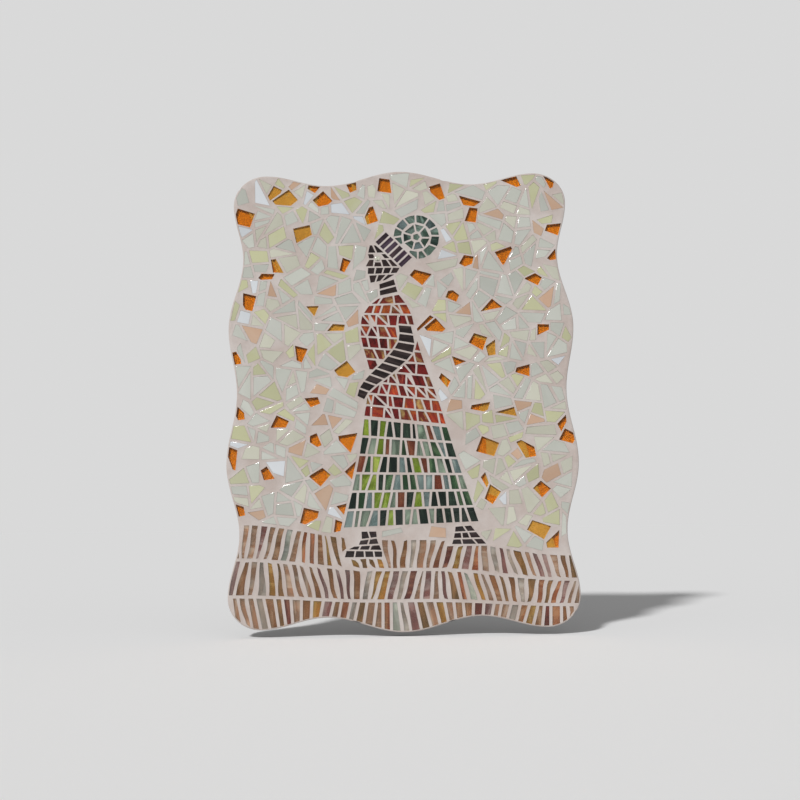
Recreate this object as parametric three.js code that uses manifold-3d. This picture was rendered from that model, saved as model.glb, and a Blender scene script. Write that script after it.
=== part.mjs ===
import * as THREE from 'three';
import { mergeVertices } from 'three/addons/utils/BufferGeometryUtils.js';
import Module from 'manifold-3d';

const wasm = await Module();
wasm.setup();

// Stained-glass mosaic on a scalloped board, to hang on a wall. Millimetres, X right, Z up,
// the picture faces -Y and the flat back lies on Y = 0, with the origin in its middle.
// Depths are measured from the back towards the picture.
const boardDepth = 18;
const groutDepth = 21.3;
const faceDepth = 22;
const padRoot = 0.5; // how far a tile pad reaches down into the bed that carries it
const clearance = 0.3; // free space round every separately cut piece
const edgeMargin = 1.5; // tiles stop this far inside the outline of their area

// Scalloped edge: crests and dips of one quarter as [distance from the middle, reach].
const topWave = [[0, 343.5], [110, 322], [204, 338.5]];
const sideWave = [[0, 243.5], [101, 257.5], [206, 237], [293, 252.5]];
const stepsPerWave = 6;

const ground = { height: -212, slope: -0.09, ripple: 4, rippleLength: 44, rows: 3, pitch: 12.6, joint: 4.6 };

const colours = {
  board: '#2a211b', grout: '#d5cbc5', ground: '#9a7654', wrap: '#4c6a5c', band: '#2b1f26',
  skin: '#2c2221', eye: '#8d93a6', blouse: '#8c2f2c', skirt: '#47604a', shoe: '#241c1b', amber: '#b87814',
};

// ---------- plane geometry: polygons are counter-clockwise lists of [x, z] ----------

function makeRandom(seed) {
  let state = seed;
  return (low = 0, high = 1) => {
    state = (state + 0x6d2b79f5) | 0;
    let mixed = Math.imul(state ^ (state >>> 15), 1 | state);
    mixed = (mixed + Math.imul(mixed ^ (mixed >>> 7), 61 | mixed)) ^ mixed;
    return low + (high - low) * (((mixed ^ (mixed >>> 14)) >>> 0) / 4294967296);
  };
}

const edgesOf = (polygon) => polygon.map((point, i) => [point, polygon[(i + 1) % polygon.length]]);
const mix = (a, b, t) => [a[0] + (b[0] - a[0]) * t, a[1] + (b[1] - a[1]) * t];
const distance = (a, b) => Math.hypot(b[0] - a[0], b[1] - a[1]);

// Distance of a point to the left of the line a-b.
function leftOf(a, b, point) {
  const turn = (b[0] - a[0]) * (point[1] - a[1]) - (b[1] - a[1]) * (point[0] - a[0]);
  return turn / distance(a, b);
}

function areaOf(polygon) {
  return edgesOf(polygon).reduce((sum, [a, b]) => sum + a[0] * b[1] - b[0] * a[1], 0) / 2;
}

function middleOf(polygon) {
  const sum = polygon.reduce((total, point) => [total[0] + point[0], total[1] + point[1]], [0, 0]);
  return [sum[0] / polygon.length, sum[1] / polygon.length];
}

function isInside(point, polygon) {
  const crossings = edgesOf(polygon).filter(([a, b]) => {
    const spans = a[1] > point[1] !== b[1] > point[1];
    return spans && point[0] < a[0] + ((point[1] - a[1]) * (b[0] - a[0])) / (b[1] - a[1]);
  });
  return crossings.length % 2 === 1;
}

// The part of a polygon that lies more than `shift` to the left of the line a-b.
function cutLeft(polygon, a, b, shift) {
  const kept = [];
  for (const [start, end] of edgesOf(polygon)) {
    const from = leftOf(a, b, start) - shift;
    const to = leftOf(a, b, end) - shift;
    if (from >= 0) kept.push(start);
    if (from * to < 0) kept.push(mix(start, end, from / (from - to)));
  }
  return kept;
}

// Whether the segment a-b comes nearer to a convex tile than `reach`.
function comesNear(a, b, tile, reach) {
  let enter = 0;
  let leave = 1;
  for (const [start, end] of edgesOf(tile)) {
    const from = leftOf(start, end, a) + reach;
    const to = leftOf(start, end, b) + reach;
    if (from < 0 && to < 0) return false;
    if (from < 0) enter = Math.max(enter, from / (from - to));
    if (to < 0) leave = Math.min(leave, from / (from - to));
  }
  return enter < leave;
}

const leastCut = 0.02; // square millimetres, below which a cut changes nothing

// Cuts a convex tile straight, as with a glass cutter, until it clears every edge of an area.
function cutToArea(tile, area, margin, keepInside) {
  let piece = tile;
  while (piece.length > 2) {
    const whole = areaOf(piece);
    const cuts = edgesOf(area)
      .filter(([a, b]) => comesNear(a, b, piece, 0.8 * margin))
      .map(([a, b]) => (keepInside ? cutLeft(piece, a, b, margin) : cutLeft(piece, b, a, margin)))
      .filter((cut) => whole - areaOf(cut) > leastCut);
    if (cuts.length === 0) break;
    piece = cuts.reduce((best, cut) => (areaOf(cut) > areaOf(best) ? cut : best));
  }
  const usable = piece.length > 2 && isInside(middleOf(piece), area) === keepInside;
  return usable ? piece : [];
}

function insetTile(tile, inset) {
  return edgesOf(tile).reduce((piece, [a, b]) => (piece.length > 2 ? cutLeft(piece, a, b, inset) : []), tile);
}

// Drops the corners that matter least until a tile has at most five, none closer than 2 mm.
function plainTile(tile) {
  let piece = tile;
  while (piece.length > 3) {
    const losses = piece.map((point, i) => {
      const others = piece.filter((_, k) => k !== i);
      return { others, loss: areaOf(piece) - areaOf(others) };
    });
    const least = losses.reduce((best, entry) => (entry.loss < best.loss ? entry : best));
    const crowded = edgesOf(piece).some(([a, b]) => distance(a, b) < 2);
    if (piece.length <= 5 && !crowded) break;
    piece = least.others;
  }
  return piece;
}

function offsetOutline(outline, outward) {
  return outline.map((point, i) => {
    const before = outline.at(i - 1);
    const after = outline[(i + 1) % outline.length];
    const [ax, az] = [point[0] - before[0], point[1] - before[1]];
    const [bx, bz] = [after[0] - point[0], after[1] - point[1]];
    const [la, lb] = [Math.hypot(ax, az), Math.hypot(bx, bz)];
    const normal = [az / la + bz / lb, -ax / la - bx / lb];
    const reach = (2 * outward) / (normal[0] ** 2 + normal[1] ** 2);
    return [point[0] + normal[0] * reach, point[1] + normal[1] * reach];
  });
}

// ---------- outlines ----------

// Half a cosine between each crest and the next dip.
function waveReach(wave, along) {
  const next = Math.max(1, wave.findIndex(([at]) => at >= along));
  const [from, low] = wave[next - 1];
  const [to, high] = wave[next];
  const turn = (Math.PI * (along - from)) / (to - from);
  return low + ((high - low) * (1 - Math.cos(turn))) / 2;
}

function quarterEdge() {
  const [cornerX, topReach] = topWave.at(-1);
  const [cornerZ, sideReach] = sideWave.at(-1);
  const topSteps = stepsPerWave * (topWave.length - 1);
  const sideSteps = stepsPerWave * (sideWave.length - 1);
  const points = [];
  for (let i = 0; i < topSteps; i++) {
    const x = (cornerX * i) / topSteps;
    points.push([x, waveReach(topWave, x)]);
  }
  for (let i = 0; i < stepsPerWave; i++) {
    const turn = (Math.PI * i) / (2 * stepsPerWave);
    points.push([
      cornerX + (sideReach - cornerX) * Math.sin(turn),
      cornerZ + (topReach - cornerZ) * Math.cos(turn),
    ]);
  }
  for (let i = sideSteps; i > 0; i--) {
    const z = (cornerZ * i) / sideSteps;
    points.push([waveReach(sideWave, z), z]);
  }
  return points;
}

function panelEdge() {
  const quarter = quarterEdge();
  const sideMiddle = [sideWave[0][1], 0];
  const right = [...quarter, sideMiddle, ...quarter.slice(1).reverse().map(([x, z]) => [x, -z])];
  const left = right.map(([x, z]) => [-x, -z]);
  const bottomMiddle = [0, -topWave[0][1]];
  return [...right, bottomMiddle, ...left.slice(1)].reverse();
}

const groundHeight = (x) => ground.height + ground.slope * x + ground.ripple * Math.sin(x / ground.rippleLength);
const panel = panelEdge();
const panelReach = sideWave[1][1] + 10;
const panelBottom = -topWave[0][1];

// ---------- laying tiles ----------

// A smooth side line through a few points, read by its length from 0 to 1.
function sideLine(points) {
  const curve = new THREE.SplineCurve(points.map(([x, z]) => new THREE.Vector2(x, z)));
  return (t) => curve.getPointAt(Math.min(1, Math.max(0, t))).toArray();
}

// An area between two side lines, both running down, with a straight top and bottom.
function bandArea(left, right, steps) {
  const leftLine = sideLine(left);
  const rightLine = sideLine(right);
  const places = Array.from({ length: steps + 1 }, (_, i) => i / steps);
  return {
    at: (u, v) => mix(leftLine(v), rightLine(v), u),
    outline: [...places.map(leftLine), ...places.map(rightLine).reverse()],
  };
}

// Rows of tiles across a band, leaning a little; some are cut in two from corner to corner.
function layRows(band, { rows, pitch, lean, split, seed }) {
  const random = makeRandom(seed);
  const tiles = [];
  for (let row = 0; row < rows; row++) {
    const [top, bottom] = [row / rows, (row + 1) / rows];
    const middle = (top + bottom) / 2;
    const count = Math.max(1, Math.round(distance(band.at(0, middle), band.at(1, middle)) / pitch));
    const stagger = () => (random(-1, 1) * lean) / count;
    let [upper, lower] = [0, 0];
    for (let i = 1; i <= count; i++) {
      const last = i === count;
      const nextUpper = last ? 1 : i / count + stagger();
      const nextLower = last ? 1 : i / count + stagger();
      const quad = [band.at(upper, top), band.at(lower, bottom), band.at(nextLower, bottom), band.at(nextUpper, top)];
      const across = random() < split;
      if (across) tiles.push([quad[0], quad[1], quad[2]], [quad[0], quad[2], quad[3]]);
      else tiles.push(quad);
      [upper, lower] = [nextUpper, nextLower];
    }
  }
  return tiles;
}

// Cuts laid tiles to their area and round whatever covers it, and opens the joints.
function finishTiles(tiles, area, covers, gap) {
  const smallest = 14; // square millimetres, below which a chip is left out
  return tiles
    .map((tile) => insetTile(tile, gap / 2))
    .map((tile) => (tile.length > 2 ? cutToArea(tile, area, edgeMargin, true) : []))
    .map((tile) => covers.reduce((piece, cover) => (piece.length > 2 ? cutToArea(piece, cover, edgeMargin, false) : []), tile))
    .filter((tile) => tile.length > 2)
    .map(plainTile)
    .filter((tile) => areaOf(tile) > smallest);
}

// ---------- the walking woman, built on a plain scheme of head heights ----------

const headHeight = 74;
const chin = [-49, 166]; // front of the chin line, where the face plane meets the jaw
const headPoint = ([back, up]) => [chin[0] + back * headHeight, chin[1] + up * headHeight];

// Face in profile as rows from the hairline down: front and back ends of each row's top and bottom.
const faceRows = [
  { front: [[0.03, 0.84], [-0.01, 0.65]], back: [[0.17, 0.84], [0.38, 0.65]], tiles: 2 },
  { front: [[-0.01, 0.65], [0.02, 0.53]], back: [[0.38, 0.65], [0.5, 0.53]], tiles: 3 },
  { front: [[0.02, 0.53], [-0.07, 0.36]], back: [[0.5, 0.53], [0.68, 0.36]], tiles: 4 },
  { front: [[-0.01, 0.36], [-0.02, 0.2]], back: [[0.68, 0.36], [0.6, 0.22]], tiles: 4 },
  { front: [[0.01, 0.2], [0.04, 0.01]], back: [[0.6, 0.22], [0.36, 0.07]], tiles: 3 },
];
const eye = { centre: headPoint([0.2, 0.54]), radius: 4.6, sides: 10, crown: 1.4 };

function roundOutline([x, z], radius, sides) {
  return Array.from({ length: sides }, (_, i) => {
    const turn = (2 * Math.PI * i) / sides;
    return [x + radius * Math.cos(turn), z + radius * Math.sin(turn)];
  });
}

function makeFace() {
  const fronts = faceRows.flatMap((row) => row.front.map(headPoint));
  const backs = faceRows.flatMap((row) => row.back.map(headPoint)).reverse();
  const outline = [...fronts, ...backs].filter((point, i, all) => distance(point, all.at(i - 1)) > 0.5);
  const tiles = faceRows.flatMap((row) => {
    const [frontTop, frontLow] = row.front.map(headPoint);
    const [backTop, backLow] = row.back.map(headPoint);
    return Array.from({ length: row.tiles }, (_, i) => {
      const [from, to] = [i / row.tiles, (i + 1) / row.tiles];
      return [mix(frontTop, backTop, from), mix(frontLow, backLow, from), mix(frontLow, backLow, to), mix(frontTop, backTop, to)];
    });
  });
  return { outline, tiles };
}

// A bun of folded cloth with a flat side on the headband: wedges in two rings round a middle piece.
const bun = { centre: [25, 239], radius: 36, overlap: 1.1, rings: [[1, 0.56, 12], [0.56, 0.2, 7]] };
const headband = { lower: [[-39, 232], [2, 190]], upper: [[-21, 249], [20, 207]] };

function makeHeadwrap() {
  const random = makeRandom(5);
  const [from, to] = headband.upper;
  const outline = cutLeft(roundOutline(bun.centre, bun.radius, 20), from, to, 0);
  const tiles = bun.rings.flatMap(([outer, inner, count]) => {
    const spot = (turn, share) => [
      bun.centre[0] + share * bun.overlap * bun.radius * Math.cos(turn),
      bun.centre[1] + share * bun.overlap * bun.radius * Math.sin(turn),
    ];
    const folds = Array.from({ length: count }, (_, i) => {
      const turn = (2 * Math.PI * (i + random(-0.16, 0.16))) / count;
      return [spot(turn, outer), spot(turn + random(-0.1, 0.1), inner)];
    });
    return edgesOf(folds).map(([fold, next]) => [fold[0], next[0], next[1], fold[1]]);
  });
  tiles.push(roundOutline(bun.centre, 0.2 * bun.radius, 5));
  return { outline, tiles };
}

const side = {
  neck: [[[-33, 167], [-32, 147]], [[-9, 175], [-3, 153]]],
  blouse: [
    [[-34, 145], [-58, 122], [-61, 84], [-50, 40], [-51, 4], [-57, -34]],
    [[-2, 151], [17, 122], [24, 84], [37, 40], [54, -8], [66, -48]],
  ],
  arm: [
    [[-5, 104], [-5, 78], [-27, 49], [-47, 30], [-62, 12], [-67, -4]],
    [[16, 102], [20, 64], [-9, 33], [-33, 15], [-49, 1], [-55, -10]],
  ],
  skirt: [[[-57, -36], [-66, -100], [-88, -197]], [[67, -50], [85, -110], [111, -190]]],
  front_shoe: [[[-62, -200], [-64, -216], [-86, -229], [-86, -239]], [[-38, -200], [-36, -216], [-30, -228], [-30, -239]]],
  back_shoe: [[[74, -195], [72, -208], [68, -222]], [[98, -193], [110, -208], [122, -222]]],
};

// How the rows of each part are laid; a row holds one tile where the pitch is wider than the part.
const laying = {
  headband: { rows: 6, pitch: 30, lean: 0, split: 0, seed: 3, joint: 3 },
  neck: { rows: 2, pitch: 40, lean: 0, split: 0, seed: 4, joint: 2.8 },
  arm: { rows: 10, pitch: 40, lean: 0, split: 0, seed: 6, joint: 2.8 },
  blouse: { rows: 11, pitch: 14, lean: 0.36, split: 0.3, seed: 7, joint: 3 },
  skirt: { rows: 6, pitch: 12, lean: 0.26, split: 0, seed: 8, joint: 3.6 },
  front_shoe: { rows: 4, pitch: 15, lean: 0.2, split: 0, seed: 9, joint: 2.4 },
  back_shoe: { rows: 3, pitch: 14, lean: 0.2, split: 0, seed: 10, joint: 2.4 },
};

function layBand(name, colour, sides, steps, covers = []) {
  const band = bandArea(...sides, steps);
  return { name, colour, outline: band.outline, tiles: layRows(band, laying[name]), joint: laying[name].joint, covers };
}

function makeFigure() {
  const arm = layBand('arm', colours.skin, side.arm, 10);
  const band = layBand('headband', colours.band, [headband.lower, headband.upper], 3);
  const eyeHole = roundOutline(eye.centre, eye.radius, eye.sides);
  return [
    { name: 'headwrap', colour: colours.wrap, ...makeHeadwrap(), joint: 2.8, covers: [band.outline] },
    band,
    { name: 'face', colour: colours.skin, ...makeFace(), joint: 2.4, covers: [eyeHole, band.outline] },
    layBand('neck', colours.skin, side.neck, 2),
    arm,
    layBand('blouse', colours.blouse, side.blouse, 10, [arm.outline]),
    layBand('skirt', colours.skirt, side.skirt, 8),
    layBand('front_shoe', colours.shoe, side.front_shoe, 6),
    layBand('back_shoe', colours.shoe, side.back_shoe, 4),
  ];
}

const figure = makeFigure();

// ---------- the strip of ground: leaning slivers in three rows down to the bottom edge ----------

function groundArea() {
  const steps = 24;
  const surface = Array.from({ length: steps + 1 }, (_, i) => {
    const x = panelReach - (2 * panelReach * i) / steps;
    return [x, groundHeight(x)];
  });
  return [...surface, [-panelReach, panelBottom - 10], [panelReach, panelBottom - 10]];
}

function layGround(area, covers) {
  const random = makeRandom(21);
  const { rows, pitch } = ground;
  const rowHeight = (x, row) => groundHeight(x) + ((panelBottom - groundHeight(x)) * row) / rows;
  const tiles = [];
  for (let row = 0; row < rows; row++) {
    const start = -panelReach - pitch * (1 + random());
    let [upper, lower] = [start, start];
    for (let x = start + pitch; x < panelReach + pitch; x += pitch * random(0.85, 1.15)) {
      const lean = 5.5 * Math.sin(x / 39 + 1.9 * row) + random(-1.2, 1.2);
      const [nextUpper, nextLower] = [x + lean + random(-1.2, 1.2), x - lean + random(-1.2, 1.2)];
      tiles.push([
        [upper, rowHeight(upper, row)], [lower, rowHeight(lower, row + 1)],
        [nextLower, rowHeight(nextLower, row + 1)], [nextUpper, rowHeight(nextUpper, row)],
      ]);
      [upper, lower] = [nextUpper, nextLower];
    }
  }
  const inPanel = finishTiles(tiles, panel, covers, ground.joint);
  return inPanel.map((tile) => cutToArea(tile, area, edgeMargin, true)).filter((tile) => tile.length > 2);
}

// ---------- amber glass, scattered over the pale field ----------

const amber = { count: 46, spacing: 50, shortest: 17, longest: 31, leastArea: 150, clear: 5 };

// An offcut: a small rectangle of sheet glass, cut across up to three times at any angle.
function offcut(random, [x, z]) {
  const along = random(amber.shortest, amber.longest) / 2;
  const across = Math.min(along, random(amber.shortest, amber.longest) / 2);
  const turn = random(0, Math.PI);
  const corners = [[-along, -across], [along, -across], [along, across], [-along, across]];
  let piece = corners.map(([a, b]) => [
    x + a * Math.cos(turn) - b * Math.sin(turn),
    z + a * Math.sin(turn) + b * Math.cos(turn),
  ]);
  const cuts = Math.floor(random(1, 4));
  for (let i = 0; i < cuts; i++) {
    const heading = random(0, 2 * Math.PI);
    const away = across * random(0.25, 0.8);
    const foot = [x + away * Math.sin(heading), z - away * Math.cos(heading)];
    piece = cutLeft(piece, foot, [foot[0] + Math.cos(heading), foot[1] + Math.sin(heading)], 0);
  }
  return piece;
}

function scatterAmber(covers) {
  const random = makeRandom(33);
  const shards = [];
  const centres = [];
  for (let attempt = 0; attempt < 6000 && shards.length < amber.count; attempt++) {
    const place = [random(-panelReach, panelReach), random(ground.height, topWave[0][1])];
    if (centres.some((other) => distance(other, place) < amber.spacing)) continue;
    const cut = cutToArea(offcut(random, place), panel, 0.6, true);
    if (cut.length < 3 || areaOf(cut) < amber.leastArea) continue;
    const free = covers.every((cover) => {
      const outside = cut.every((corner) => !isInside(corner, cover));
      return outside && edgesOf(cover).every(([a, b]) => !comesNear(a, b, cut, amber.clear));
    });
    if (!free) continue;
    shards.push(plainTile(cut));
    centres.push(place);
  }
  return shards;
}

// ---------- solids ----------

function slab(outline, from, to) {
  const shape = new THREE.Shape(outline.map(([x, z]) => new THREE.Vector2(x, z)));
  const geometry = new THREE.ExtrudeGeometry(shape, { depth: to - from, bevelEnabled: false });
  return geometry.translate(0, 0, from).rotateX(Math.PI / 2);
}

function asSolid(geometry) {
  geometry.deleteAttribute('normal');
  geometry.deleteAttribute('uv');
  const merged = mergeVertices(geometry);
  const vertProperties = new Float32Array(merged.attributes.position.array);
  return new wasm.Manifold(new wasm.Mesh({ numProp: 3, vertProperties, triVerts: new Uint32Array(merged.index.array) }));
}

function asGeometry(solid) {
  const { vertProperties, triVerts } = solid.getMesh();
  const geometry = new THREE.BufferGeometry();
  geometry.setAttribute('position', new THREE.BufferAttribute(vertProperties, 3));
  return geometry.setIndex(new THREE.BufferAttribute(triVerts, 1));
}

const solidSlab = (outline, from, to) => asSolid(slab(outline, from, to));
const opening = (outline) => solidSlab(offsetOutline(outline, clearance / 2), boardDepth - 1, faceDepth + 1);

// A bed of grout cut to its area, with the tiles standing proud of it.
function tiledSolid(bed, tiles) {
  return tiles.reduce((solid, tile) => solid.add(solidSlab(tile, groutDepth - padRoot, faceDepth)), bed);
}

function areaSolid({ outline, tiles, covers, joint }) {
  const bed = solidSlab(offsetOutline(outline, -clearance / 2), boardDepth, groutDepth);
  const trimmed = covers.reduce((solid, cover) => solid.subtract(opening(cover)), bed);
  return tiledSolid(trimmed, finishTiles(tiles, outline, covers, joint));
}

// A glass bead with a low crown.
function beadGeometry() {
  const rounding = Array.from({ length: 4 }, (_, i) => {
    const turn = (Math.PI * i) / 6;
    return new THREE.Vector2(beadRadius * Math.cos(turn), faceDepth + eye.crown * Math.sin(turn));
  });
  const profile = [new THREE.Vector2(0, boardDepth), new THREE.Vector2(beadRadius, boardDepth), ...rounding];
  profile.at(-1).x = 0;
  return new THREE.LatheGeometry(profile, eye.sides);
}

const beadRadius = eye.radius - clearance;
const group = new THREE.Group();

function addNode(name, solid, colour, finish = {}) {
  const material = new THREE.MeshStandardMaterial({ color: colour, roughness: 0.35, metalness: 0, ...finish });
  const mesh = new THREE.Mesh(solid.isBufferGeometry ? solid : asGeometry(solid), material);
  mesh.name = name;
  group.add(mesh);
  return mesh;
}

const shoes = figure.filter(({ name }) => name.endsWith('shoe')).map(({ outline }) => outline);
const figureOutlines = figure.map(({ outline }) => outline);
const groundEdge = groundArea();
const shards = scatterAmber([...figureOutlines, groundEdge]);

function buildGrout() {
  const layer = solidSlab(panel, boardDepth, groutDepth);
  return [...figureOutlines, groundEdge, ...shards].reduce((solid, outline) => solid.subtract(opening(outline)), layer);
}

function buildGround() {
  const layer = solidSlab(panel, boardDepth, groutDepth);
  const strip = solidSlab(offsetOutline(groundEdge, -clearance / 2), boardDepth - 1, groutDepth + 1);
  const bed = figureOutlines.reduce((solid, outline) => solid.subtract(opening(outline)), layer.intersect(strip));
  return tiledSolid(bed, layGround(groundEdge, shoes));
}

addNode('board', slab(panel, 0, boardDepth), colours.board, { roughness: 0.7 });
addNode('grout', buildGrout(), colours.grout, { roughness: 0.85 });
addNode('ground_slivers', buildGround(), colours.ground);
for (const area of figure) addNode(area.name, areaSolid(area), area.colour);
addNode('eye', beadGeometry().rotateX(Math.PI).translate(eye.centre[0], 0, eye.centre[1]), colours.eye);
shards.forEach((outline, i) => {
  addNode(`amber_${String(i + 1).padStart(2, '0')}`, slab(offsetOutline(outline, -clearance / 2), boardDepth, faceDepth),
    colours.amber, { roughness: 0.15 });
});

export default group;
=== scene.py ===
import math
import random

import bpy
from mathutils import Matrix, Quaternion, Vector, geometry, noise


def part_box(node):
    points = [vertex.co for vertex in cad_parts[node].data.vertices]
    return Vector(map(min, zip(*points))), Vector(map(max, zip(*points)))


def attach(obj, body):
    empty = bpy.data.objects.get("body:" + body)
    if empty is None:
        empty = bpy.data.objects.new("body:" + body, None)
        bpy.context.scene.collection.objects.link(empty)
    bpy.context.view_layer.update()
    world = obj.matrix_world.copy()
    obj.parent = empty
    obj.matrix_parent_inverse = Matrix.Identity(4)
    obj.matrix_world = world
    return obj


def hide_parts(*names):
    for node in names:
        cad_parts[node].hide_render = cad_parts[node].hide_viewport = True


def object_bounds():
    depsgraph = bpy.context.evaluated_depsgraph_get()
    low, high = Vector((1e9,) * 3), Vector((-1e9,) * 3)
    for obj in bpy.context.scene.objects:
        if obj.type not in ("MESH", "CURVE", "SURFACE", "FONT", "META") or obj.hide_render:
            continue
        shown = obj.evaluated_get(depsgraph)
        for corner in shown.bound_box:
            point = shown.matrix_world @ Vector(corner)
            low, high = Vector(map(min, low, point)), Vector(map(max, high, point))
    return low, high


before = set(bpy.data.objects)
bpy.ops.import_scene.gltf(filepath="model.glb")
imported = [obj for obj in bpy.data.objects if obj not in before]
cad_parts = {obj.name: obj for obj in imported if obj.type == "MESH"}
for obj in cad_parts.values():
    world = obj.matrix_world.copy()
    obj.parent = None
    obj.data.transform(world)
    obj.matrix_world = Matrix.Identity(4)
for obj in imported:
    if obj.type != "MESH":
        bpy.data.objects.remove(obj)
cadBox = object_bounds()
mm = 0.001

# The panel hangs upright: X right, Z up, the picture looks at -Y and the back lies on Y = 0.
# Outlines are lists of (x, z) that run anticlockwise as the picture is seen.
# Depths are heights above the back, so a depth of 22 mm lies at y = -0.022.

view = {
    "distance": 1.3,
    "fieldWidth": 1.2,  # what the frame takes in at that distance
    "fromBelow": 8.1,  # degrees
    "roll": 0.69,
    "aim": (-0.0027, 0.0, -0.007),
}


def placeCamera():
    low = math.radians(view["fromBelow"])
    towards = Vector((0, math.cos(low), math.sin(low)))
    bpy.ops.object.camera_add(location=Vector(view["aim"]) - view["distance"] * towards)
    camera = bpy.context.object
    camera.rotation_mode = "QUATERNION"
    turned = towards.to_track_quat("-Z", "Y")
    camera.rotation_quaternion = turned @ Quaternion((0, 0, 1), -math.radians(view["roll"]))
    camera.data.lens = camera.data.sensor_width * view["distance"] / view["fieldWidth"]
    bpy.context.scene.camera = camera
    print("camera placed")


def edgesOf(outline):
    return list(zip(outline, outline[1:] + outline[:1]))


def leftOf(a, b, spot):
    turn = (b[0] - a[0]) * (spot[1] - a[1]) - (b[1] - a[1]) * (spot[0] - a[0])
    return turn / math.dist(a, b)


def between(a, b, share):
    return (a[0] + (b[0] - a[0]) * share, a[1] + (b[1] - a[1]) * share)


def areaOf(outline):
    return sum(a[0] * b[1] - b[0] * a[1] for a, b in edgesOf(outline)) / 2


def middleOf(outline):
    count = len(outline)
    return (sum(x for x, z in outline) / count, sum(z for x, z in outline) / count)


def isInside(spot, edges):
    crossed = 0
    for a, b in edges:
        if (a[1] > spot[1]) != (b[1] > spot[1]):
            crossed += spot[0] < a[0] + (spot[1] - a[1]) * (b[0] - a[0]) / (b[1] - a[1])
    return crossed % 2 == 1


def cutLeft(outline, a, b, shift):
    # what lies more than shift to the left of the line a-b
    kept = []
    for start, end in edgesOf(outline):
        here = leftOf(a, b, start) - shift
        there = leftOf(a, b, end) - shift
        if here >= 0:
            kept.append(start)
        if here * there < 0:
            kept.append(between(start, end, here / (here - there)))
    return kept


def comesNear(a, b, tile, reach):
    # whether the stretch a-b comes nearer to a tile than reach
    enter, leave = 0.0, 1.0
    for start, end in edgesOf(tile):
        here = leftOf(start, end, a) + reach
        there = leftOf(start, end, b) + reach
        if here < 0 and there < 0:
            return False
        if here < 0:
            enter = max(enter, here / (here - there))
        if there < 0:
            leave = min(leave, here / (here - there))
    return enter < leave


nearMiss = 0.8  # share of the margin within which an edge still cuts a tile
leastCut = 0.05 * mm * mm
touching = 0.01 * mm


def cutToFree(tile, freeEdges, margin):
    # straight cuts until the tile clears the edges of the free area, which lies on their left
    reach = nearMiss * margin
    around = [edge for edge in freeEdges if comesNear(*edge, tile, margin)]
    while len(tile) > 2:
        whole = areaOf(tile)
        cuts = [cutLeft(tile, a, b, margin) for a, b in around if comesNear(a, b, tile, reach)]
        cuts = [cut for cut in cuts if whole - areaOf(cut) > leastCut]
        if not cuts:
            break
        tile = max(cuts, key=areaOf)
    return tile if len(tile) > 2 and isInside(middleOf(tile), freeEdges) else []


def plainTile(tile, corners, shortest):
    # drops the corners that matter least
    while len(tile) > 3:
        crowded = any(math.dist(a, b) < shortest for a, b in edgesOf(tile))
        if len(tile) <= corners and not crowded:
            break
        fewer = [tile[:i] + tile[i + 1 :] for i in range(len(tile))]
        tile = max(fewer, key=areaOf)
    return tile


def grown(outline, outward):
    # the outline with every side moved outwards, or inwards where outward is negative
    moved = []
    for i, spot in enumerate(outline):
        before, after = outline[i - 1], outline[(i + 1) % len(outline)]
        first, last = math.dist(before, spot), math.dist(spot, after)
        nx = (spot[1] - before[1]) / first + (after[1] - spot[1]) / last
        nz = (before[0] - spot[0]) / first + (spot[0] - after[0]) / last
        reach = 2 * outward / max(nx * nx + nz * nz, 0.8)
        moved.append((spot[0] + nx * reach, spot[1] + nz * reach))
    return moved


def divided(outline, longest):
    # more points along the long sides
    spots = []
    for a, b in edgesOf(outline):
        count = max(1, round(math.dist(a, b) / longest))
        spots += [between(a, b, i / count) for i in range(count)]
    return spots


def curved(outline, steps):
    # a smooth line through the corners of an outline
    spots = []
    count = len(outline)
    for i in range(count):
        p = [Vector(outline[(i + k) % count]) for k in (-1, 0, 1, 2)]
        for step in range(steps):
            t = step / steps
            spot = 0.5 * (
                2 * p[1]
                + (p[2] - p[0]) * t
                + (2 * p[0] - 5 * p[1] + 4 * p[2] - p[3]) * t * t
                + (3 * p[1] - p[0] - 3 * p[2] + p[3]) * t * t * t
            )
            spots.append(tuple(spot))
    return spots


def loopsAt(nodeName, depth):
    # the outlines of a solid's flat faces that look at the viewer at this depth
    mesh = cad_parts[nodeName].data
    after = {}
    sides = set()
    for face in mesh.polygons:
        if face.normal.y < -0.99 and abs(face.center.y + depth) < 0.05 * mm:
            corners = [mesh.vertices[i].co for i in face.vertices]
            spots = [(round(spot.x, 6), round(spot.z, 6)) for spot in corners]
            sides.update(edgesOf(spots))
    for a, b in sides:
        if (b, a) not in sides:
            after[a] = b
    loops = []
    while after:
        start, spot = after.popitem()
        loop = [start]
        while spot != start:
            loop.append(spot)
            spot = after.pop(spot)
        loops.append(loop)
    return sorted(loops)


depths = {"board": 18 * mm, "bed": 21.3 * mm, "face": 22 * mm, "pocket": 18.2 * mm}
boardEdge = loopsAt("board", depths["board"])[0]
panelEdge = curved(boardEdge, steps=3)

sorts = {  # how high each sort of glass lies, and how high the grout comes up round it
    "field": {"top": 21.8 * mm, "rim": 21.9 * mm},
    "figure": {"top": 21.55 * mm, "rim": 21.95 * mm},
    "ground": {"top": 21.6 * mm, "rim": 21.95 * mm},
    "amber": {"top": 21.35 * mm, "rim": 22.0 * mm},
}

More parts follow.
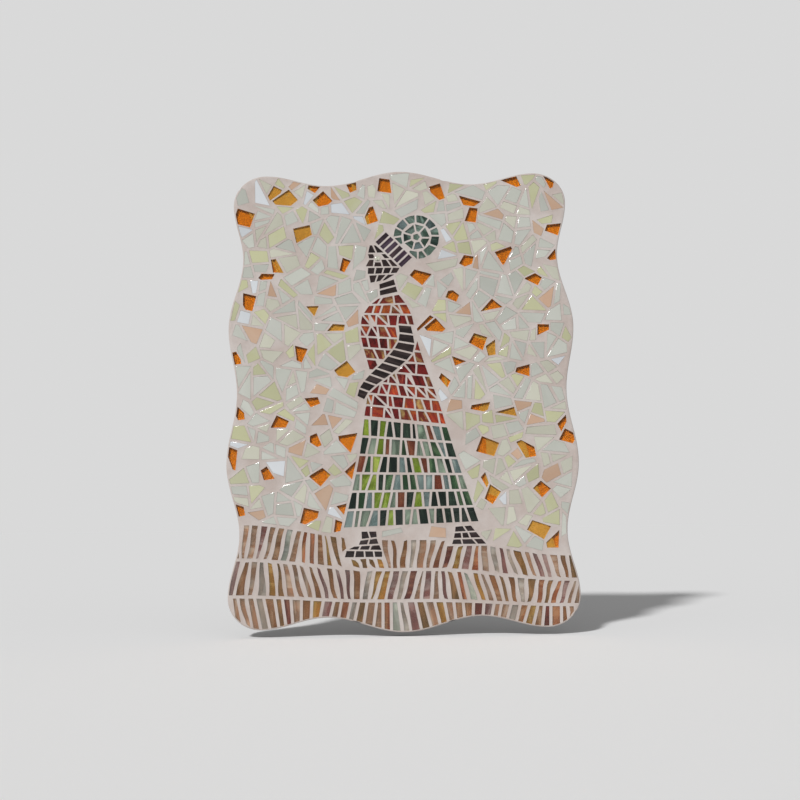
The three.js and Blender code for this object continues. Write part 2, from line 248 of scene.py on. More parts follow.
field = {
    "seed": 12,
    "sheet": 46 * mm,  # spacing of the sheets that are broken up
    "scatter": 0.42,  # of the middles of the sheets, as shares of the spacing
    "neighbours": 2.6,  # spacings within which another sheet can bound this one
    "sheetReach": 1.2,
    "largest": 900 * mm * mm,
    "evenness": 0.55,  # the smallest limit drawn for a piece, as a share of the largest
    "turn": 0.75,  # radians by which a break strays from square across
    "offMiddle": 0.22,
    "smallest": 110 * mm * mm,
    "shortest": 3 * mm,
    "fourSided": 0.8,  # chance that a piece has four corners and not five
    "joint": 3.8 * mm,
    "jointSpread": 1.0 * mm,
    "margin": 2.2 * mm,
    "amberShare": 0.06,
    "largestAmber": 330 * mm * mm,
    "amberRim": 2.2 * mm,  # from the edge of the panel
}


def sheetCells(dice):
    # the pieces that a jittered net of middles makes, each nearest to its own middle
    low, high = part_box("board")
    pitch, scatter = field["sheet"], field["scatter"]
    middles = []
    for i in range(-1, math.ceil((high.x - low.x) / pitch) + 1):
        for k in range(-1, math.ceil((high.z - low.z) / pitch) + 1):
            spot = (low.x + (i + 0.5 * (k % 2)) * pitch, low.z + k * pitch)
            jitter = (dice.uniform(-scatter, scatter) * pitch, dice.uniform(-scatter, scatter) * pitch)
            middles.append((spot[0] + jitter[0], spot[1] + jitter[1]))
    reach = field["sheetReach"] * pitch
    for x, z in middles:
        left, right, bottom, top = x - reach, x + reach, z - reach, z + reach
        cell = [(left, bottom), (right, bottom), (right, top), (left, top)]
        for other in middles:
            if 0 < math.dist(other, (x, z)) < field["neighbours"] * pitch and len(cell) > 2:
                halfway = between((x, z), other, 0.5)
                along = (halfway[0] - (other[1] - z), halfway[1] + (other[0] - x))
                cell = cutLeft(cell, halfway, along, 0)
        if len(cell) > 2:
            yield cell


def brokenUp(piece, dice):
    # cuts a sheet across its long way until the pieces are small enough
    if areaOf(piece) < field["largest"] * dice.uniform(field["evenness"], 1.0):
        return [piece]
    middle = middleOf(piece)
    far = max(piece, key=lambda spot: math.dist(spot, middle))
    heading = math.atan2(far[1] - middle[1], far[0] - middle[0]) + math.pi / 2
    heading += dice.uniform(-field["turn"], field["turn"])
    across = between(middle, far, dice.uniform(-field["offMiddle"], field["offMiddle"]))
    ahead = (across[0] + math.cos(heading), across[1] + math.sin(heading))
    halves = [cutLeft(piece, across, ahead, 0), cutLeft(piece, ahead, across, 0)]
    return [part for half in halves if len(half) > 2 for part in brokenUp(half, dice)]


def layField():
    dice = random.Random(field["seed"])
    freeEdges = [edge for loop in loopsAt("grout", depths["bed"]) for edge in edgesOf(loop)]
    tiles = []
    for cell in sheetCells(dice):
        for piece in brokenUp(cell, dice):
            for a, b in edgesOf(piece):
                gap = (field["joint"] + dice.uniform(-1, 1) * field["jointSpread"]) / 2
                piece = cutLeft(piece, a, b, gap) if len(piece) > 2 else []
            piece = cutToFree(piece, freeEdges, field["margin"]) if len(piece) > 2 else []
            corners = 4 if dice.random() < field["fourSided"] else 5
            piece = plainTile(piece, corners, field["shortest"])
            if len(piece) > 2 and areaOf(piece) > field["smallest"]:
                tiles.append(piece)
    print("field laid,", len(tiles), "pieces")
    return tiles


slivers = {
    "seed": 4,
    "step": 7 * mm,
    "bend": 1.0 * mm,
    "bendStart": 0.6,  # radians by which the S of each piece is shifted
    "taper": 0.35,
    "taperHold": 0.9,
    "rim": 2 * mm,  # from the edge of the panel
}


def bentSliver(sliver, dice):
    # a long piece ground to a slight S and narrower at one end
    ends = max(((a, b) for a in sliver for b in sliver), key=lambda pair: math.dist(*pair))
    low, high = sorted(ends, key=lambda spot: spot[1])
    middle = middleOf(sliver)
    length = math.dist(low, high)
    ahead = ((high[0] - low[0]) / length, (high[1] - low[1]) / length)
    swing = dice.uniform(-1, 1) * slivers["bend"]
    start = dice.uniform(-slivers["bendStart"], slivers["bendStart"])
    thin = dice.uniform(-1, 1) * slivers["taper"]
    shaped = []
    for x, z in divided(sliver, slivers["step"]):
        along = ((x - middle[0]) * ahead[0] + (z - middle[1]) * ahead[1]) / length
        across = (z - middle[1]) * ahead[0] - (x - middle[0]) * ahead[1]
        width = 1 - abs(thin) + 2 * thin * along * slivers["taperHold"]
        side = across * width + swing * math.sin(2 * math.pi * along + start)
        run = along * length
        shaped.append((
            middle[0] + run * ahead[0] - side * ahead[1],
            middle[1] + run * ahead[1] + side * ahead[0],
        ))
    return shaped


def layGround():
    dice = random.Random(slivers["seed"])
    insideEdge = edgesOf(grown(panelEdge, -slivers["rim"]))
    tiles = []
    for sliver in loopsAt("ground_slivers", depths["face"]):
        shaped = bentSliver(sliver, dice)
        if not all(isInside(spot, insideEdge) for spot in shaped):
            shaped = cutToFree(sliver, insideEdge, touching)
        if len(shaped) > 2:
            tiles.append(shaped)
    return tiles


figureParts = ["headwrap", "headband", "face", "neck", "arm", "blouse", "skirt", "front_shoe", "back_shoe"]


def layPattern():
    # every piece of glass as [part of the picture, sort, outline]
    dice = random.Random(field["seed"] + 1)
    pattern = []
    for tile in layField():
        isAmber = dice.random() < field["amberShare"] and areaOf(tile) < field["largestAmber"]
        kind = "amber" if isAmber else "field"
        pattern.append([kind, kind, tile])
    insideEdge = edgesOf(grown(panelEdge, -field["amberRim"]))
    for name in sorted(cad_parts):
        if name.startswith("amber_"):
            for loop in loopsAt(name, depths["face"]):
                pattern.append(["amber", "amber", cutToFree(loop, insideEdge, touching)])
    for name in figureParts:
        pattern += [[name, "figure", loop] for loop in loopsAt(name, depths["face"])]
    pattern += [["ground_slivers", "ground", sliver] for sliver in layGround()]
    return pattern


def linear(colour):
    # colours are written as on a screen, from 0 to 255
    return tuple(((c / 255 + 0.055) / 1.055) ** 2.4 if c > 10 else c / 255 / 12.92 for c in colour)


def newMaterial(name):
    material = bpy.data.materials.new(name)
    material.use_nodes = True
    return material, material.node_tree.nodes, material.node_tree.links


def addNode(nodes, kind, place, **values):
    node = nodes.new(kind)
    node.location = place
    for key, value in values.items():
        if hasattr(node, key):
            setattr(node, key, value)
        else:
            node.inputs[key.replace("_", " ")].default_value = value
    return node


def addRamp(nodes, place, *stops):
    ramp = addNode(nodes, "ShaderNodeValToRGB", place)
    for element, (position, colour) in zip(ramp.color_ramp.elements, stops):
        element.position = position
        element.color = (*linear(colour), 1)
    return ramp


def addRange(nodes, place, low, high, start=0.0, end=1.0):
    # spreads what lies between start and end over low to high
    spread = addNode(nodes, "ShaderNodeMapRange", place)
    for name, value in (("From Min", start), ("From Max", end), ("To Min", low), ("To Max", high)):
        spread.inputs[name].default_value = value
    return spread


def roughen(material, height, strength, distance):
    nodes, links = material.node_tree.nodes, material.node_tree.links
    bump = addNode(nodes, "ShaderNodeBump", (-300, -400), Strength=strength, Distance=distance)
    links.new(height, bump.inputs["Height"])
    links.new(bump.outputs["Normal"], nodes["Principled BSDF"].inputs["Normal"])


wispy = {
    "roughness": 0.1,
    "streak": 70,
    "stretch": 5.0,
    "contrast": 0.9,
    "cloud": 0.3,
    "clear": 0.6,
    "swirl": 1.6,
    "bands": (0.46, 0.64),  # where a wisp starts and where it is full
    "ripple": 120.0,
    "rippleDepth": 0.0006,
    "rippleStrength": 0.25,
}
glassLook = {
    "field": {
        **wispy,
        "roughness": 0.16,
        "streak": 14,
        "stretch": 3.0,
        "contrast": 0.35,
        "cloud": 0.08,
        "clear": 0.0,
    },
    "ground_slivers": {**wispy, "streak": 60},
    "headwrap": {**wispy, "stretch": 3.0},
    "dark": {**wispy, "streak": 80, "stretch": 4.0, "contrast": 0.7, "clear": 0.0},
    "blouse": {**wispy, "streak": 90, "stretch": 3.0, "contrast": 1.0, "cloud": 0.35},
    "skirt": wispy,
}


def letLightThrough(material, colour):
    # lamps shine through the glass on to its bed, tinted on their way
    nodes, links = material.node_tree.nodes, material.node_tree.links
    shader = nodes["Principled BSDF"]
    passing = addNode(nodes, "ShaderNodeBsdfTransparent", (0, -300))
    if isinstance(colour, tuple):
        passing.inputs["Color"].default_value = colour
    else:
        links.new(colour, passing.inputs["Color"])
    ray = addNode(nodes, "ShaderNodeLightPath", (0, 300))
    either = addNode(nodes, "ShaderNodeMixShader", (300, 0))
    links.new(ray.outputs["Is Shadow Ray"], either.inputs["Fac"])
    links.new(shader.outputs["BSDF"], either.inputs[1])
    links.new(passing.outputs["BSDF"], either.inputs[2])
    links.new(either.outputs["Shader"], nodes["Material Output"].inputs["Surface"])


def streakyGlass(name, look):
    # sheet glass with wisps of a second colour drawn out along each piece
    material, nodes, links = newMaterial(name)
    shader = nodes["Principled BSDF"]
    shader.inputs["Roughness"].default_value = look["roughness"]
    shader.inputs["IOR"].default_value = 1.52
    shader.inputs["Transmission Weight"].default_value = look["clear"]
    body = addNode(nodes, "ShaderNodeAttribute", (-1100, 300), attribute_name="body")
    wisp = addNode(nodes, "ShaderNodeAttribute", (-1100, 100), attribute_name="wisp")
    grain = addNode(nodes, "ShaderNodeUVMap", (-1500, -200), uv_map="grain")
    drawn = addNode(nodes, "ShaderNodeMapping", (-1300, -200), Scale=(1, 1 / look["stretch"], 1))
    flow = addNode(nodes, "ShaderNodeTexNoise", (-1100, -100), Scale=look["streak"], Detail=4.0)
    flow.inputs["Distortion"].default_value = look["swirl"]
    empty, full = look["bands"]
    band = addRamp(nodes, (-900, -100), (empty, (0, 0, 0)), (full, (255, 255, 255)))
    share = addNode(nodes, "ShaderNodeMath", (-600, -100), operation="MULTIPLY")
    share.inputs[1].default_value = look["contrast"]
    mixed = addNode(nodes, "ShaderNodeMix", (-400, 200), data_type="RGBA")
    links.new(grain.outputs["UV"], drawn.inputs["Vector"])
    links.new(drawn.outputs["Vector"], flow.inputs["Vector"])
    links.new(flow.outputs["Fac"], band.inputs["Fac"])
    links.new(band.outputs["Color"], share.inputs[0])
    links.new(share.outputs["Value"], mixed.inputs["Factor"])
    links.new(body.outputs["Color"], mixed.inputs["A"])
    links.new(wisp.outputs["Color"], mixed.inputs["B"])
    cloud = addNode(nodes, "ShaderNodeTexNoise", (-1100, -400), Scale=look["streak"] * 0.4, Detail=3.0)
    level = addRange(nodes, (-800, -400), 1 - look["cloud"], 1 + look["cloud"], start=0.3, end=0.7)
    toned = addNode(nodes, "ShaderNodeMix", (-200, 200), data_type="RGBA", blend_type="MULTIPLY")
    toned.inputs["Factor"].default_value = 1.0
    links.new(grain.outputs["UV"], cloud.inputs["Vector"])
    links.new(cloud.outputs["Fac"], level.inputs["Value"])
    links.new(mixed.outputs["Result"], toned.inputs["A"])
    links.new(level.outputs["Result"], toned.inputs["B"])
    links.new(toned.outputs["Result"], shader.inputs["Base Color"])
    ripple = addNode(nodes, "ShaderNodeTexNoise", (-600, -600), Scale=look["ripple"], Detail=2.0)
    links.new(grain.outputs["UV"], ripple.inputs["Vector"])
    roughen(material, ripple.outputs["Fac"], look["rippleStrength"], look["rippleDepth"])
    if look["clear"]:
        letLightThrough(material, toned.outputs["Result"])
    return material


amberLook = {
    "colour": (235, 180, 70),
    "passing": (245, 215, 140),  # the tint of what shines through on to the bed
    "roughness": 0.05,
    "clear": 1.0,
    "ripple": 160.0,
    "swirl": 0.8,
    "rippleDepth": 0.0015,
    "rippleStrength": 0.5,
}


def amberGlass():
    # see-through cathedral glass, a little wavy
    material, nodes, links = newMaterial("amberGlass")
    shader = nodes["Principled BSDF"]
    shader.inputs["Roughness"].default_value = amberLook["roughness"]
    shader.inputs["IOR"].default_value = 1.5
    shader.inputs["Transmission Weight"].default_value = amberLook["clear"]
    shader.inputs["Base Color"].default_value = (*linear(amberLook["colour"]), 1)
    place = addNode(nodes, "ShaderNodeTexCoord", (-900, -300))
    ripple = addNode(nodes, "ShaderNodeTexNoise", (-600, -300), Scale=amberLook["ripple"], Detail=2.0)
    ripple.inputs["Distortion"].default_value = amberLook["swirl"]
    links.new(place.outputs["Object"], ripple.inputs["Vector"])
    roughen(material, ripple.outputs["Fac"], amberLook["rippleStrength"], amberLook["rippleDepth"])
    letLightThrough(material, (*linear(amberLook["passing"]), 1))
    return material


groutLook = {
    "pale": (200, 191, 186),
    "warm": (188, 175, 168),
    "stains": 22.0,
    "staining": (0.38, 0.62),
    "lumps": 190.0,
    "grain": 900.0,
    "specks": (0.9, 1.06),  # how dark and how light a grain of sand is
    "grainDepth": 0.0005,
    "grainStrength": 0.5,
    "roughness": 0.85,
}


def sandyGrout():
    material, nodes, links = newMaterial("sandyGrout")
    shader = nodes["Principled BSDF"]
    shader.inputs["Roughness"].default_value = groutLook["roughness"]
    shader.inputs["Specular IOR Level"].default_value = 0.25
    place = addNode(nodes, "ShaderNodeTexCoord", (-1300, 0))
    stain = addNode(nodes, "ShaderNodeTexNoise", (-1000, 200), Scale=groutLook["stains"], Detail=5.0)
    stain.inputs["Roughness"].default_value = 0.6
    warm, pale = groutLook["staining"]
    ramp = addRamp(nodes, (-750, 200), (warm, groutLook["warm"]), (pale, groutLook["pale"]))
    sand = addNode(nodes, "ShaderNodeTexNoise", (-1000, -200), Scale=groutLook["grain"], Detail=3.0)
    lump = addNode(nodes, "ShaderNodeTexNoise", (-1000, -500), Scale=groutLook["lumps"], Detail=3.0)
    speck = addRange(nodes, (-750, -100), *groutLook["specks"])
    toned = addNode(nodes, "ShaderNodeMix", (-400, 200), data_type="RGBA", blend_type="MULTIPLY")
    toned.inputs["Factor"].default_value = 1.0
    height = addNode(nodes, "ShaderNodeMix", (-600, -400), data_type="FLOAT")
    height.inputs["Factor"].default_value = 0.6
    for texture in (stain, sand, lump):
        links.new(place.outputs["Object"], texture.inputs["Vector"])
    links.new(stain.outputs["Fac"], ramp.inputs["Fac"])
    links.new(sand.outputs["Fac"], speck.inputs["Value"])
    links.new(ramp.outputs["Color"], toned.inputs["A"])
    links.new(speck.outputs["Result"], toned.inputs["B"])
    links.new(toned.outputs["Result"], shader.inputs["Base Color"])
    links.new(sand.outputs["Fac"], height.inputs["A"])
    links.new(lump.outputs["Fac"], height.inputs["B"])
    roughen(material, height.outputs["Result"], groutLook["grainStrength"], groutLook["grainDepth"])
    return material


palettes = {  # chance, body colour, colour of the wisps
    "field": [
        (46, (186, 188, 179), (199, 199, 194)),
        (22, (190, 189, 173), (200, 200, 189)),
        (20, (186, 186, 150), (196, 196, 174)),
        (4, (204, 208, 212), (212, 214, 216)),
        (8, (192, 160, 136), (200, 181, 162)),
    ],
    "ground_slivers": [
        (20, (158, 112, 70), (196, 164, 130)),
        (18, (178, 142, 112), (208, 190, 170)),
        (14, (166, 128, 84), (126, 96, 50)),
        (12, (178, 166, 152), (206, 200, 190)),
        (10, (160, 96, 58), (196, 150, 110)),
        (10, (150, 104, 96), (190, 168, 160)),
        (8, (176, 132, 56), (206, 176, 110)),
        (5, (126, 66, 52), (170, 120, 96)),
        (3, (178, 182, 168), (212, 214, 206)),
    ],
    "headwrap": [
        (30, (70, 96, 82), (160, 182, 172)),
        (30, (112, 136, 122), (180, 198, 190)),
        (20, (56, 80, 70), (130, 158, 146)),
        (20, (134, 150, 150), (84, 104, 100)),
    ],
    "headband": [(50, (52, 38, 50), (84, 70, 84)), (50, (44, 34, 40), (74, 58, 62))],
    "face": [(60, (36, 27, 27), (66, 52, 51)), (40, (46, 34, 33), (74, 59, 55))],
    "neck": [(100, (34, 26, 25), (62, 50, 47))],
    "arm": [(100, (34, 26, 26), (64, 52, 51))],
    "blouse": [
        (40, (158, 48, 44), (92, 24, 22)),
        (30, (176, 70, 52), (222, 128, 60)),
        (15, (146, 62, 46), (206, 178, 116)),
        (15, (124, 32, 34), (186, 92, 72)),
    ],
    "skirt": [
        (26, (34, 52, 44), (66, 88, 72)),
        (16, (62, 96, 66), (120, 152, 112)),
        (17, (142, 166, 52), (192, 208, 108)),
        (22, (132, 152, 150), (176, 190, 186)),
        (13, (168, 182, 166), (112, 130, 112)),
        (6, (138, 74, 52), (176, 122, 92)),
    ],
    "front_shoe": [(100, (32, 23, 23), (54, 40, 39))],
    "back_shoe": [(100, (32, 23, 23), (54, 40, 39))],
    "amber": [(100, (200, 130, 20), (200, 130, 20))],
}

glassSheet = {
    "thickness": 2.7 * mm,
    "arris": 0.35 * mm,
    "arrisSegments": 2,
    "sharpest": 50,  # degrees, past which an edge gets its arris
    "smooth": 20,
    "tilt": 0.012,
    "lift": 0.12 * mm,
    "toneSpread": 0.1,
    "grainShift": 9,  # how far apart pieces can be cut from one sheet
    "seeds": {"field": 31, "amber": 32, "ground": 33, "figure": 40},
}


def activeAlone(piece):
    bpy.ops.object.select_all(action="DESELECT")
    piece.select_set(True)
    bpy.context.view_layer.objects.active = piece


def applyModifiers(piece):
    activeAlone(piece)
    for modifier in list(piece.modifiers):
        bpy.ops.object.modifier_apply(modifier=modifier.name)


def meshPiece(name, corners, faces):
    mesh = bpy.data.meshes.new(name)
    mesh.from_pydata(corners, [], faces)
    mesh.update()
    piece = bpy.data.objects.new(name, mesh)
    bpy.context.scene.collection.objects.link(piece)
    return piece


def pickTone(palette, dice):
    roll = dice.uniform(0, sum(chance for chance, body, wisp in palette))
    for chance, body, wisp in palette:
        roll -= chance
        if roll <= 0:
            break
    tone = 1 + dice.uniform(-1, 1) * glassSheet["toneSpread"]
    return [tuple(min(1.0, c * tone) for c in linear(colour)) + (1.0,) for colour in (body, wisp)]


def longWay(tile):
    a, b = max(edgesOf(tile), key=lambda pair: math.dist(*pair))
    return math.atan2(b[1] - a[1], b[0] - a[0])


def paintGlass(piece, part, tiles, dice):
    # gives each piece of glass its two colours and its own grain
    mesh = piece.data
    owner = mesh.attributes["tile"].data
    body = mesh.color_attributes.new("body", "FLOAT_COLOR", "CORNER")
    wisp = mesh.color_attributes.new("wisp", "FLOAT_COLOR", "CORNER")
    grain = mesh.uv_layers.new(name="grain")
    tones, frames = [], []
    for tile in tiles:
        tones.append(pickTone(palettes[part], dice))
        turn = longWay(tile)
        shifts = [dice.uniform(0, glassSheet["grainShift"]) for _ in range(2)]
        frames.append((middleOf(tile), math.cos(turn), math.sin(turn), *shifts))
    for face in mesh.polygons:
        index = owner[face.index].value
        (x, z), cos, sin, shiftU, shiftV = frames[index]
        for corner in face.loop_indices:
            spot = mesh.vertices[mesh.loops[corner].vertex_index].co
            across = (spot.z - z) * cos - (spot.x - x) * sin
            along = (spot.x - x) * cos + (spot.z - z) * sin
            body.data[corner].color, wisp.data[corner].color = tones[index]
            grain.data[corner].uv = (across + shiftU, along + shiftV)


def cutGlass(pattern, name, part, sort, material, seed):
    # flat outlines, given the thickness of the sheet and softened edges
    dice = random.Random(seed)
    tiles = [tile for owner, kind, tile in pattern if owner == part]
    corners, faces = [], []
    for tile in tiles:
        x, z = middleOf(tile)
        leanX, leanZ = (dice.gauss(0, glassSheet["tilt"]) for _ in range(2))
        top = sorts[sort]["top"] + dice.uniform(-1, 1) * glassSheet["lift"]
        faces.append(range(len(corners), len(corners) + len(tile)))
        corners += [(a, -top + (a - x) * leanX + (b - z) * leanZ, b) for a, b in tile]
    piece = meshPiece(name, corners, faces)
    piece.data.attributes.new("tile", "INT", "FACE").data.foreach_set("value", range(len(tiles)))
    piece.data.materials.append(material)
    thick = piece.modifiers.new("thickness", "SOLIDIFY")
    thick.thickness = glassSheet["thickness"]
    arris = piece.modifiers.new("arris", "BEVEL")
    arris.width = glassSheet["arris"]
    arris.segments = glassSheet["arrisSegments"]
    arris.limit_method = "ANGLE"
    arris.angle_limit = math.radians(glassSheet["sharpest"])
    applyModifiers(piece)
    bpy.ops.object.shade_smooth_by_angle(angle=math.radians(glassSheet["smooth"]))
    paintGlass(piece, part, tiles, dice)
    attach(piece, "root")
    return piece


grout = {
    "gap": 0.1 * mm,  # between a piece of glass and the wall of its pocket
    "wallStep": 5 * mm,
    "net": 3.0 * mm,
    "netSpread": 0.3,
    "netClear": 0.9 * mm,  # from the glass
    "reach": 8 * mm,  # how far off glass still sets the depth of a joint
    "sag": 0.35 * mm,
    "sagWidth": 2 * mm,  # from the glass to where the joint has sagged fully
    "lumps": 0.16 * mm,
    "lumpSize": 6 * mm,
    "wave": 0.06 * mm,  # along the lip of each pocket
    "waveSize": 4 * mm,
    "rounding": 1.4 * mm,
    "shoulderIn": 0.3,  # share of the rounding
    "shoulder": 21.3 * mm,
    "waist": 20.5 * mm,
    "foot": 18.02 * mm,
    "smooth": 45,  # degrees
    "seed": 8,
}
squareSize = 25 * mm  # near glass is looked up by squares of this size
joined = 1e-7  # metres within which two points are one


def nearTiles(pattern, reach):
    # looks up the pieces of glass near a spot, by squares of the panel
    squares = {}
    size = squareSize
    for index, (part, sort, tile) in enumerate(pattern):
        lowX, highX = min(x for x, z in tile) - reach, max(x for x, z in tile) + reach
        lowZ, highZ = min(z for x, z in tile) - reach, max(z for x, z in tile) + reach
        for i in range(math.floor(lowX / size), math.floor(highX / size) + 1):
            for k in range(math.floor(lowZ / size), math.floor(highZ / size) + 1):
                squares.setdefault((i, k), []).append(index)
    return lambda x, z: squares.get((math.floor(x / size), math.floor(z / size)), [])


def distanceToEdge(a, b, spot):
    run = (b[0] - a[0]) ** 2 + (b[1] - a[1]) ** 2
    share = ((spot[0] - a[0]) * (b[0] - a[0]) + (spot[1] - a[1]) * (b[1] - a[1])) / run
    return math.dist(between(a, b, min(1, max(0, share))), spot)


def acrossAt(outline, z):
    # the stretches of a level line that lie inside an outline
    crossed = [(a, b) for a, b in edgesOf(outline) if (a[1] > z) != (b[1] > z)]
    crossings = sorted(a[0] + (z - a[1]) * (b[0] - a[0]) / (b[1] - a[1]) for a, b in crossed)
    return list(zip(crossings[::2], crossings[1::2]))


def jointSpots(pattern, rimEdge, dice):
    # loose points in the joints, each with the depth of the grout there
    near = nearTiles(pattern, grout["reach"])
    pitch, spread = grout["net"], grout["netSpread"]
    low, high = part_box("board")
    spots = []
    for k in range(int((high.z - low.z) / pitch)):
        spans = acrossAt(rimEdge, low.z + k * pitch)
        for i in range(int((high.x - low.x) / pitch)):
            x = low.x + (i + 0.5 * (k % 2) + dice.uniform(-spread, spread)) * pitch
            z = low.z + (k + dice.uniform(-spread, spread)) * pitch
            if not any(start + pitch < x < end - pitch for start, end in spans):
                continue
            clear, rim = grout["reach"], sorts["field"]["rim"]
            for index in near(x, z):
                part, sort, tile = pattern[index]
                sides = edgesOf(tile)
                gap = min(distanceToEdge(a, b, (x, z)) for a, b in sides)
                if isInside((x, z), sides):
                    gap = 0
                if gap < clear:
                    clear, rim = gap, sorts[sort]["rim"]
            if clear > grout["netClear"]:
                sag = grout["sag"] * min(1, clear / grout["sagWidth"])
                lump = grout["lumps"] * noise.noise(Vector((x, 0, z)) / grout["lumpSize"])
                spots.append((x, z, rim - sag + lump))
    return spots


def makeGrout(pattern, material):
    dice = random.Random(grout["seed"])
    rimEdge = grown(panelEdge, -grout["rounding"])
    flat, depthOf, loops = [], [], []
    rings = [(rimEdge, sorts["field"]["rim"])]
    for part, sort, tile in pattern:
        rings.append((divided(grown(tile, grout["gap"]), grout["wallStep"]), sorts[sort]["rim"]))
    for ring, depth in rings:
        loops.append(list(range(len(flat), len(flat) + len(ring))))
        flat += ring
        for x, z in ring:
            depthOf.append(depth + grout["wave"] * noise.noise(Vector((x, 0, z)) / grout["waveSize"]))
    for x, z, depth in jointSpots(pattern, rimEdge, dice):
        flat.append((x, z))
        depthOf.append(depth)
    made = geometry.delaunay_2d_cdt([Vector(spot) for spot in flat], [], loops, 1, joined, True)
    spots, _, faces, fromSpots, _, fromFaces = made
    depth = [depthOf[origin[0]] if origin else sorts["field"]["rim"] for origin in fromSpots]
    corners = [(x, -depth[i], z) for i, (x, z) in enumerate(spots)]
    kept = [face for face, origin in zip(faces, fromFaces) if origin == [0]]
    piece = meshPiece("grout_bed", corners, kept)
    print("grout surface,", len(kept), "faces")
    piece.data.materials.append(material)
    closeGrout(piece)
    return piece


def closeGrout(piece):
    # walls and floors for the pockets, a rounded outer edge and a flat back
    rimEdge = grown(panelEdge, -grout["rounding"])
    outer = {(round(x, 6), round(z, 6)): i for i, (x, z) in enumerate(rimEdge)}
    shoulderIn = -grout["shoulderIn"] * grout["rounding"]
    steps = [(shoulderIn, grout["shoulder"]), (0, grout["waist"]), (0, grout["foot"])]
    activeAlone(piece)
    bpy.ops.object.mode_set(mode="EDIT")
    bpy.ops.mesh.select_all(action="SELECT")
    bpy.ops.mesh.delete_loose()
    bpy.ops.mesh.select_mode(type="EDGE")
    bpy.ops.mesh.select_all(action="DESELECT")
    bpy.ops.mesh.select_non_manifold(
        extend=False, use_wire=False, use_multi_face=False, use_non_contiguous=False, use_verts=False
    )
    bpy.ops.mesh.extrude_edges_move()
    bpy.ops.object.mode_set(mode="OBJECT")
    ring = {}
    for vertex in piece.data.vertices:
        if vertex.select:
            index = outer.get((round(vertex.co.x, 6), round(vertex.co.z, 6)))
            if index is None:
                vertex.co.y = -depths["pocket"]
            else:
                ring[vertex.index] = index
    for step, (outward, depth) in enumerate(steps):
        if step:
            bpy.ops.object.mode_set(mode="EDIT")
            bpy.ops.mesh.extrude_edges_move()
            bpy.ops.object.mode_set(mode="OBJECT")
            # the new points lie where the last ones do
            places = {tuple(piece.data.vertices[i].co): index for i, index in ring.items()}
            ring = {v.index: places[tuple(v.co)] for v in piece.data.vertices if v.select}
        line = grown(panelEdge, outward)
        for number, index in ring.items():
            piece.data.vertices[number].co = (line[index][0], -depth, line[index][1])
        selectOnly(piece, set(ring))
    bpy.ops.object.mode_set(mode="EDIT")
    bpy.ops.mesh.select_all(action="SELECT")
    bpy.ops.mesh.fill_holes(sides=0)
    bpy.ops.mesh.select_all(action="SELECT")
    bpy.ops.mesh.normals_make_consistent(inside=False)
    bpy.ops.object.mode_set(mode="OBJECT")
    bpy.ops.object.shade_smooth_by_angle(angle=math.radians(grout["smooth"]))


def selectOnly(piece, numbers):
    # selects edges whose two ends are among these points
    mesh = piece.data
    for vertex in mesh.vertices:
        vertex.select = vertex.index in numbers
    for edge in mesh.edges:
        edge.select = edge.vertices[0] in numbers and edge.vertices[1] in numbers
    for face in mesh.polygons:
        face.select = False


boardLook = {
    "dark": (44, 35, 30),
    "worn": (74, 60, 48),
    "wear": (0.4, 0.75),  # where the paint starts to thin and where it is thinnest
    "grain": 40.0,
    "swirl": 0.6,
    "stretch": (1.0, 1.0, 0.08),  # the grain runs up the panel
    "sheen": (0.43, 0.75),
    "grainDepth": 0.0004,
    "grainStrength": 0.4,
}


def paintedWood():
    # thin dark paint with the grain of the wood showing through it
    material, nodes, links = newMaterial("paintedWood")
    shader = nodes["Principled BSDF"]
    place = addNode(nodes, "ShaderNodeTexCoord", (-1300, 0))
    drawn = addNode(nodes, "ShaderNodeMapping", (-1100, 0), Scale=boardLook["stretch"])
    grain = addNode(nodes, "ShaderNodeTexNoise", (-900, 0), Scale=boardLook["grain"], Detail=6.0)
    grain.inputs["Distortion"].default_value = boardLook["swirl"]
    whole, thin = boardLook["wear"]
    ramp = addRamp(nodes, (-600, 100), (whole, boardLook["dark"]), (thin, boardLook["worn"]))
    sheen = addRange(nodes, (-600, -200), *boardLook["sheen"])
    links.new(place.outputs["Object"], drawn.inputs["Vector"])
    links.new(drawn.outputs["Vector"], grain.inputs["Vector"])
    links.new(grain.outputs["Fac"], ramp.inputs["Fac"])
    links.new(grain.outputs["Fac"], sheen.inputs["Value"])
    links.new(ramp.outputs["Color"], shader.inputs["Base Color"])
    links.new(sheen.outputs["Result"], shader.inputs["Roughness"])
    roughen(material, grain.outputs["Fac"], boardLook["grainStrength"], boardLook["grainDepth"])
    return material


eyeLook = {
    "pale": (206, 204, 188),
    "dark": (30, 24, 24),
    "clearing": (0.3, 0.5),  # where the dark starts to clear and where it is gone
    "swirl": 1.0,
    "cloud": 260.0,
    "roughness": 0.1,
}


def eyeBead():
    # a pale bead, its glass clouded with a darker swirl
    material, nodes, links = newMaterial("eyeBead")
    shader = nodes["Principled BSDF"]
    shader.inputs["Roughness"].default_value = eyeLook["roughness"]
    place = addNode(nodes, "ShaderNodeTexCoord", (-900, 0))
    swirl = addNode(nodes, "ShaderNodeTexNoise", (-700, 0), Scale=eyeLook["cloud"], Detail=3.0)
    swirl.inputs["Distortion"].default_value = eyeLook["swirl"]
    start, end = eyeLook["clearing"]
    ramp = addRamp(nodes, (-450, 0), (start, eyeLook["dark"]), (end, eyeLook["pale"]))
    links.new(place.outputs["Object"], swirl.inputs["Vector"])
    links.new(swirl.outputs["Fac"], ramp.inputs["Fac"])
    links.new(ramp.outputs["Color"], shader.inputs["Base Color"])
    return material


def dressNode(name, material):
    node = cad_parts[name]
    node.data.materials.clear()
    node.data.materials.append(material)


